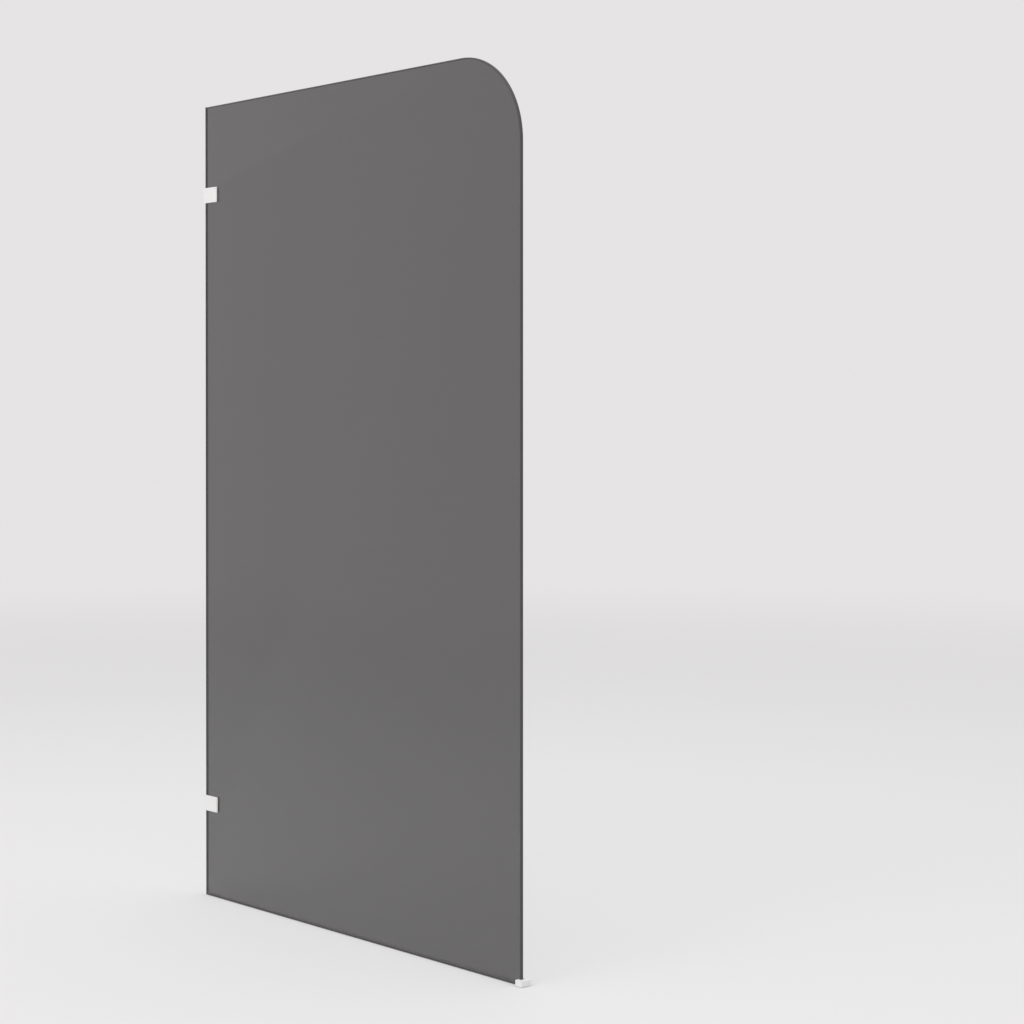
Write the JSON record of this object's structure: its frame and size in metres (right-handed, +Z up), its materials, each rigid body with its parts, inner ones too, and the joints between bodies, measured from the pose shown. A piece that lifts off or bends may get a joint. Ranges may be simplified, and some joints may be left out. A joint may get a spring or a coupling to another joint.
{
  "type": "walk-in shower screen",
  "caption": "Fixed frameless pane of smoked glass with a rounded top outer corner, held by block clamps at the wall edge and a clip on the floor.",
  "frame": {"origin": "On the floor and the wall at once, level with the middle of the glass's thickness: where the wall, the floor and the glass's middle plane meet.", "axes": "+X from the wall to the outer end of the screen, +Y into the shower, +Z up."},
  "size_m": [1.212, 0.028, 2],
  "materials": {
    "smoked_glass": "toughened float glass tinted grey through, its edges rounded and polished",
    "white_powder_coat": "fine satin white powder coat on zinc",
    "gasket_rubber": "dark matt rubber",
    "nylon": "natural nylon",
    "stainless_steel": "turned stainless steel",
    "clear_liner": "soft translucent vinyl",
    "smoke_seal": "smoke-grey flexible vinyl"
  },
  "bodies": {
    "root": {"glass_panel": "smoked_glass", "upper_clamp_body": "white_powder_coat", "upper_clamp_inner_jaw": "white_powder_coat", "upper_clamp_outer_gasket": "gasket_rubber", "upper_clamp_inner_gasket": "gasket_rubber", "upper_clamp_packer": "nylon", "upper_clamp_screw_top": "stainless_steel", "upper_clamp_screw_bottom": "stainless_steel", "lower_clamp_body": "white_powder_coat", "lower_clamp_inner_jaw": "white_powder_coat", "lower_clamp_outer_gasket": "gasket_rubber", "lower_clamp_inner_gasket": "gasket_rubber", "lower_clamp_packer": "nylon", "lower_clamp_screw_top": "stainless_steel", "lower_clamp_screw_bottom": "stainless_steel", "floor_clip_body": "white_powder_coat", "floor_clip_liner": "clear_liner", "floor_clip_plate": "stainless_steel", "floor_clip_grub_screw": "stainless_steel", "floor_seal": "smoke_seal", "wall_seal_lower": "smoke_seal", "wall_seal_middle": "smoke_seal", "wall_seal_upper": "smoke_seal"}
  },
  "joints": []
}
